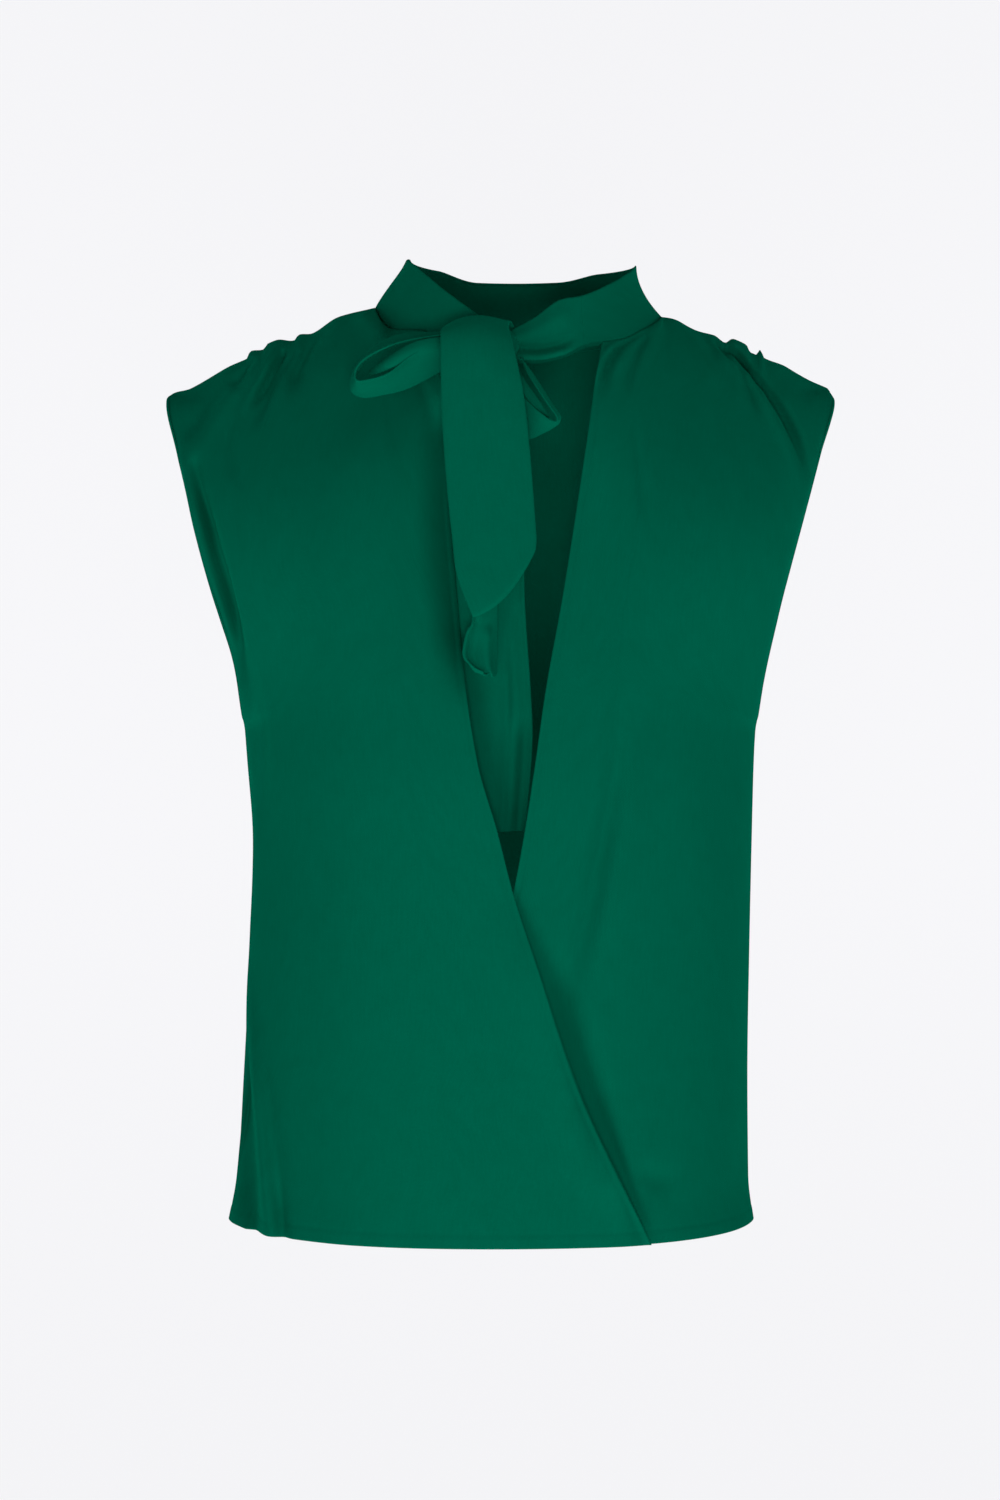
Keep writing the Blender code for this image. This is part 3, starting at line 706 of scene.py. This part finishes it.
LOOP_RIGHT = (
    Band(13.0, -113.0, -41.0, 12.4, -104.0, -40.0, 0, 0),
    Band(17.0, -121.0, -51.5, 19.5, -107.0, -49.6, 1, 0),
    Band(23.5, -124.0, -62.0, 26.5, -110.0, -60.6, 1, 0),
    Band(29.5, -125.0, -71.0, 32.0, -112.0, -69.6, 1, 0),
    Band(33.5, -125.5, -76.6, 35.8, -113.0, -75.4, 1, 0),
    Band(35.0, -125.5, -79.6, 37.0, -114.0, -78.4, 1, 0),
    Band(34.5, -125.5, -81.5, 35.5, -115.0, -82.0, 1, 0),
    Band(31.0, -125.5, -80.5, 32.0, -116.0, -85.0, 1, 0),
    Band(25.0, -125.0, -76.0, 26.0, -117.0, -88.5, 1, 0),
    Band(18.0, -124.0, -70.0, 19.0, -117.0, -91.5, 1, 0),
    Band(11.0, -121.0, -62.0, 12.0, -115.0, -88.0, 1, 0),
    Band(7.0, -114.0, -47.0, 9.0, -109.0, -62.0, 0, 0),
)
LOOP_RIGHT_FOLD = (
    Band(11.5, -112.0, -46.0, 10.5, -112.0, -48.0, 0, 0),
    Band(14.5, -118.0, -54.0, 11.0, -119.0, -56.0, 0, 0),
    Band(20.5, -121.5, -63.0, 15.0, -122.5, -65.0, 1, 0),
    Band(26.5, -122.0, -71.5, 21.5, -123.0, -72.5, 1, 0),
    Band(31.0, -119.0, -78.0, 29.5, -120.0, -79.0, 0, 0),
)


def along_band(stations, rows_each):
    """The stations' rows, read finely from smooth curves through them."""
    table = np.array(stations, float)
    slopes = np.gradient(table, axis=0)
    place = np.linspace(0, len(table) - 1, rows_each * (len(table) - 1) + 1)
    i = np.minimum(place.astype(int), len(table) - 2)
    t = (place - i)[:, None]
    return hermite(table[i], table[i + 1], slopes[i], slopes[i + 1], t)


def band_grid(stations, pleats=(), rows_each=8, columns=20):
    rows = along_band(stations, rows_each)
    across = np.linspace(0, 1, columns)
    first, last = rows[:, None, 0:3], rows[:, None, 3:6]
    grid = lerp(first, last, across[:, None])
    crown = 4 * across * (1 - across)
    grid[..., 2] -= rows[:, 7:8] * crown
    normals = np.cross(np.gradient(grid, axis=0), np.gradient(grid, axis=1))
    normals /= np.linalg.norm(normals, axis=-1, keepdims=True)
    down = np.linspace(0, 1, len(rows))[:, None]
    out = rows[:, 6:7] * crown
    for pleat in pleats:
        reach = smooth((down - pleat.first) / 0.12) * smooth((pleat.last - down) / 0.12)
        out = out + pleat.depth * reach * bump(across - pleat.across, pleat.width)
    return grid + normals * out[..., None]


# Meshes

def cloth_piece(name, grids, thickness, material, node, offset=0.0, levels=0, grain=0):
    """One piece of cloth on its grids of points, walled by Solidify; its threads run along the column grain."""
    points, faces, threads = [], [], []
    for grid in grids:
        rows, columns = grid.shape[:2]
        start = sum(len(part) for part in points)
        points.append(grid.reshape(-1, 3))
        index = start + np.arange(rows * columns).reshape(rows, columns)
        corners = np.stack([index[:-1, :-1], index[1:, :-1], index[1:, 1:], index[:-1, 1:]], -1)
        faces.append(corners.reshape(-1, 4))
        across, down = run_length(grid, 1), run_length(grid, 0)
        across = across - across[:, grain][:, None]
        threads.append(np.stack([across, down], -1).reshape(-1, 2) * MM)
    points, faces, threads = map(np.concatenate, (points, faces, threads))
    mesh = bpy.data.meshes.new(name)
    mesh.from_pydata((points * MM).tolist(), [], faces.tolist())
    layer = mesh.uv_layers.new(name="threads")
    layer.data.foreach_set("uv", threads[faces.reshape(-1)].astype(np.float32).ravel())
    piece = bpy.data.objects.new(name, mesh)
    bpy.context.scene.collection.objects.link(piece)
    mesh.materials.append(material)
    mesh.shade_smooth()
    if offset and outward_share(mesh) < 0:
        mesh.flip_normals()
    wall = piece.modifiers.new("wall", "SOLIDIFY")
    wall.thickness = thickness * MM
    wall.offset = offset
    wall.use_even_offset = False
    if levels:
        rounding = piece.modifiers.new("rounding", "SUBSURF")
        rounding.levels = rounding.render_levels = levels
    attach(piece, "root")
    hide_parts(node)
    return piece


def outward_share(mesh):
    """Above 0 where the faces look away from the body's middle."""
    return sum(face.normal.xy.dot(face.center.xy) for face in mesh.polygons)


KNOT_CENTRE = (1.0, -101.0, -32.0)
KNOT_RADII = (11.0, 8.5, 10.5)
KNOT_GIRTH = 60


def add_knot(material):
    """The tie's tight turn round the bow: a small pleated ball, most of it behind the tail."""
    bpy.ops.object.select_all(action="DESELECT")
    centre = np.array(KNOT_CENTRE) * MM
    bpy.ops.mesh.primitive_uv_sphere_add(segments=32, ring_count=18, radius=MM, location=centre)
    knot = bpy.context.object
    knot.name = knot.data.name = "cloth_tie_knot"
    knot.scale = KNOT_RADII
    bpy.ops.object.transform_apply(location=True, rotation=True, scale=True)
    bpy.ops.object.mode_set(mode="EDIT")
    bpy.ops.mesh.select_all(action="DESELECT")
    bpy.ops.object.mode_set(mode="OBJECT")
    for vertex in knot.data.vertices:
        place = np.array(vertex.co) / MM - np.array(KNOT_CENTRE)
        turn = math.atan2(place[0], place[1])
        vertex.select = math.sin(4 * turn + 0.25 * place[2]) > 0.6 and abs(place[2]) < 8
    bpy.ops.object.mode_set(mode="EDIT")
    bpy.ops.transform.resize(value=(0.9, 0.9, 1), center_override=centre)
    bpy.ops.object.mode_set(mode="OBJECT")
    rounding = knot.modifiers.new("rounding", "SUBSURF")
    rounding.levels = rounding.render_levels = 1
    bpy.ops.object.modifier_apply(modifier="rounding")
    knot.data.shade_smooth()
    knot.data.materials.append(material)
    layer = knot.data.uv_layers[0]
    layer.name = "threads"
    for corner in layer.data:
        corner.uv = corner.uv * KNOT_GIRTH * MM
    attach(knot, "root")
    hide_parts("tie_knot")


# Materials

def linear(hex_colour):
    """An sRGB hex colour as linear RGBA."""
    channels = [int(hex_colour[i:i + 2], 16) / 255 for i in (1, 3, 5)]
    return [c / 12.92 if c <= 0.04045 else ((c + 0.055) / 1.055) ** 2.4 for c in channels] + [1.0]


def add_node(tree, kind, links=None, values=None, **settings):
    """A node with its settings, its inputs' values, and its inputs' links, each from a (node, output)."""
    made = tree.nodes.new(kind)
    for key, value in settings.items():
        setattr(made, key, value)
    for key, value in (values or {}).items():
        made.inputs[key].default_value = value
    for key, (source, output) in (links or {}).items():
        tree.links.new(source.outputs[output], made.inputs[key])
    return made


DYE_DARK = "#00523d"
DYE_LIGHT = "#005641"
FUZZ = "#008a68"
THREAD_PITCH = 0.9 * MM
PEBBLE = 1.3 * MM
SLUB_WIDTH = 1.6 * MM
SLUB_LENGTH = 14 * MM
CLOUD = 15 * MM
# The wave texture runs through this many radians for one unit at scale 1
WAVE_TURNS = 20


def viscose_crepe(name):
    """Viscose crepe: matt, dense and dyed through. Tightly twisted threads pucker it into fine pebbles, so that
    the light breaks up evenly and the eye reads a soft, limp cloth. Slubs leave faint streaks down the warp."""
    material = bpy.data.materials.new(name)
    material.use_nodes = True
    tree = material.node_tree
    shader = tree.nodes["Principled BSDF"]
    threads = add_node(tree, "ShaderNodeUVMap", uv_map="threads")

    # the real threads lie 0.25 mm apart: they are drawn at 0.9 mm, because finer ones would only shimmer
    turns = 2 * math.pi / (WAVE_TURNS * THREAD_PITCH)
    relief = {"Scale": turns, "Distortion": 3.0, "Detail": 1.0, "Detail Scale": 1.5}
    on_cloth = {"Vector": (threads, "UV")}
    warp = add_node(tree, "ShaderNodeTexWave", on_cloth, relief, bands_direction="X")
    weft = add_node(tree, "ShaderNodeTexWave", on_cloth, relief, bands_direction="Y")
    woven = add_node(tree, "ShaderNodeMath", {0: (warp, "Fac"), 1: (weft, "Fac")}, operation="MULTIPLY")
    fine = {"Scale": 1 / PEBBLE, "Detail": 2.0}
    pebbles = add_node(tree, "ShaderNodeTexNoise", on_cloth, fine)
    height = add_node(tree, "ShaderNodeMath", {0: (woven, 0), 1: (pebbles, "Fac")}, operation="ADD")
    raised = {"Strength": 0.35, "Distance": 0.25 * MM}
    bumps = add_node(tree, "ShaderNodeBump", {"Height": (height, 0)}, raised)

    stretched = {"Scale": (1 / SLUB_WIDTH, 1 / SLUB_LENGTH, 1)}
    along_warp = add_node(tree, "ShaderNodeMapping", on_cloth, stretched)
    slubs = add_node(tree, "ShaderNodeTexNoise", {"Vector": (along_warp, 0)}, {"Scale": 1.0, "Detail": 2.0})
    broad = {"Scale": 1 / CLOUD, "Detail": 3.0}
    clouds = add_node(tree, "ShaderNodeTexNoise", on_cloth, broad)
    uneven = add_node(tree, "ShaderNodeMath", {0: (slubs, "Fac"), 1: (clouds, "Fac")}, operation="ADD")
    depth = add_node(tree, "ShaderNodeMapRange", {"Value": (uneven, 0)}, {"From Min": 0.6, "From Max": 1.4})
    dye = add_node(tree, "ShaderNodeValToRGB", {"Fac": (depth, 0)})
    dye.color_ramp.elements[0].color = linear(DYE_DARK)
    dye.color_ramp.elements[1].color = linear(DYE_LIGHT)

    tree.links.new(dye.outputs["Color"], shader.inputs["Base Color"])
    tree.links.new(bumps.outputs["Normal"], shader.inputs["Normal"])
    shader.inputs["Roughness"].default_value = 0.55
    shader.inputs["Specular IOR Level"].default_value = 0.0
    shader.inputs["Sheen Weight"].default_value = 0.25
    shader.inputs["Sheen Roughness"].default_value = 0.4
    shader.inputs["Sheen Tint"].default_value = linear(FUZZ)
    return material


def lit_acrylic():
    """Opal acrylic for the floor's sweep: matt, and lit from behind, so that it stays an even pale tone."""
    material = bpy.data.materials.new("opal_acrylic")
    material.use_nodes = True
    shader = material.node_tree.nodes["Principled BSDF"]
    shader.inputs["Base Color"].default_value = linear("#6c6c6e")
    shader.inputs["Roughness"].default_value = 0.9
    shader.inputs["Specular IOR Level"].default_value = 0.0
    shader.inputs["Emission Color"].default_value = linear("#f4f4f6")
    shader.inputs["Emission Strength"].default_value = 0.885
    return material


# Studio

# The pale floor, in metres, curves up into a wall behind the blouse
FLOOR = -1.9
FLOOR_REACH = 14.0
BEND_START = 2.0
BEND_RADIUS = 1.5
WALL_TOP = 8.0
OUTLOOK = "#f4f4f8"
OUTLOOK_STRENGTH = 0.1

# Softboxes: place and aim in metres, size in metres, power in watts
LIGHTS = (
    ("softbox_front", (0.0, -3.1, -0.8), (0, 0, -0.28), 0.6, 39),
    ("softbox_left", (-1.6, -2.6, -0.8), (0, 0, -0.28), 1.0, 13),
    ("softbox_right", (2.9, -0.95, -0.8), (0, 0, -0.28), 1.4, 8),
    ("softbox_under", (0.01, -0.6, -1.75), (0, 0, -0.28), 0.35, 10),
    ("softbox_top", (1.0, -1.2, 2.0), (0, 0, -0.28), 1.2, 11),
    ("backdrop_left", (-2.2, 0.9, -0.2), (-0.4, 3.6, -0.4), 1.2, 18),
    ("backdrop_right", (2.2, 0.9, -0.2), (0.4, 3.6, -0.4), 1.2, 18),
)


def add_light(name, location, aim, size, power):
    data = bpy.data.lights.new(name, "AREA")
    data.size = size
    data.energy = power
    light = bpy.data.objects.new(name, data)
    light.location = location
    away = np.array(aim) - np.array(location)
    tilt = math.atan2(math.hypot(away[0], away[1]), -away[2])
    light.rotation_euler = (tilt, 0, math.atan2(-away[0], away[1]))
    bpy.context.scene.collection.objects.link(light)


def add_studio():
    floor = bpy.data.meshes.new("floor")
    profile = [(-FLOOR_REACH, FLOOR), (BEND_START, FLOOR)]
    for turn in np.linspace(0.1, np.pi / 2, 14):
        along, up = BEND_RADIUS * math.sin(turn), BEND_RADIUS * (1 - math.cos(turn))
        profile.append((BEND_START + along, FLOOR + up))
    profile.append((BEND_START + BEND_RADIUS, WALL_TOP))
    points = [(x, y, z) for y, z in profile for x in (-FLOOR_REACH, FLOOR_REACH)]
    faces = [(2 * i, 2 * i + 1, 2 * i + 3, 2 * i + 2) for i in range(len(profile) - 1)]
    floor.from_pydata(points, [], faces)
    floor.shade_smooth()
    floor.materials.append(lit_acrylic())
    sweep = bpy.data.objects.new("floor", floor)
    bpy.context.scene.collection.objects.link(sweep)
    for name, location, aim, size, power in LIGHTS:
        add_light(name, location, aim, size, power)
    world = bpy.data.worlds.new("studio")
    world.use_nodes = True
    background = world.node_tree.nodes["Background"]
    background.inputs["Color"].default_value = linear(OUTLOOK)
    background.inputs["Strength"].default_value = OUTLOOK_STRENGTH
    bpy.context.scene.world = world
    bpy.context.scene.view_settings.view_transform = "Standard"


PANEL_WALL = 0.8
STAND_WALL = 1.6
TAIL_WALL = 1.2
LOOP_WALL = 1.0

# The offset of a wall: wholly inside the points for what is worn on the body, and half each side for the tie
INWARD = -1
BOTH_SIDES = 0

# The column whose threads run straight down: the back's middle, and the fronts' side seams
BACK_MIDDLE = SHOULDER_COLUMNS + 17
SIDE_SEAM = -1

crepe = viscose_crepe("viscose_crepe")
add_studio()

back_grid = back_panel()
back = cloth_piece("cloth_back", [back_grid], PANEL_WALL, crepe, "back", INWARD, 0, BACK_MIDDLE)

over_grid = front_panel(-1, OVER_NECK_END, "over")
over = cloth_piece("cloth_front_over", [over_grid], PANEL_WALL, crepe, "front_over", INWARD, 0, SIDE_SEAM)

under_grid = front_panel(1, UNDER_NECK_END, "under")
under = cloth_piece("cloth_front_under", [under_grid], PANEL_WALL, crepe, "front_under", INWARD, 0, SIDE_SEAM)

collar_grid = stand_band(np.linspace(COLLAR_LEFT_END, COLLAR_SEAM, 330), 26)
collar = cloth_piece("cloth_collar", [collar_grid], STAND_WALL, crepe, "collar", INWARD)

strap_grid = stand_band(np.linspace(COLLAR_SEAM - 0.4, STRAP_END, 70), 40, True)
strap = cloth_piece("cloth_tie_strap", [strap_grid], STAND_WALL, crepe, "tie_strap", INWARD)

front_grids = [band_grid(TAIL_FRONT), band_grid(TAIL_TIP, TAIL_TIP_PLEATS, columns=36)]
tail_front = cloth_piece("cloth_tail_front", front_grids, TAIL_WALL, crepe, "tail_front", BOTH_SIDES, 1)

behind_grid = band_grid(TAIL_BACK, TAIL_BACK_PLEATS, columns=44)
tail_back = cloth_piece("cloth_tail_back", [behind_grid], TAIL_WALL, crepe, "tail_back", BOTH_SIDES, 1)

left_grids = [band_grid(LOOP_LEFT), band_grid(LOOP_LEFT_FOLD)]
loop_left = cloth_piece("cloth_bow_loop_left", left_grids, LOOP_WALL, crepe, "bow_loop_left", BOTH_SIDES, 1)

right_grids = [band_grid(LOOP_RIGHT), band_grid(LOOP_RIGHT_FOLD)]
loop_right = cloth_piece("cloth_bow_loop_right", right_grids, LOOP_WALL, crepe, "bow_loop_right", BOTH_SIDES, 1)

add_knot(crepe)
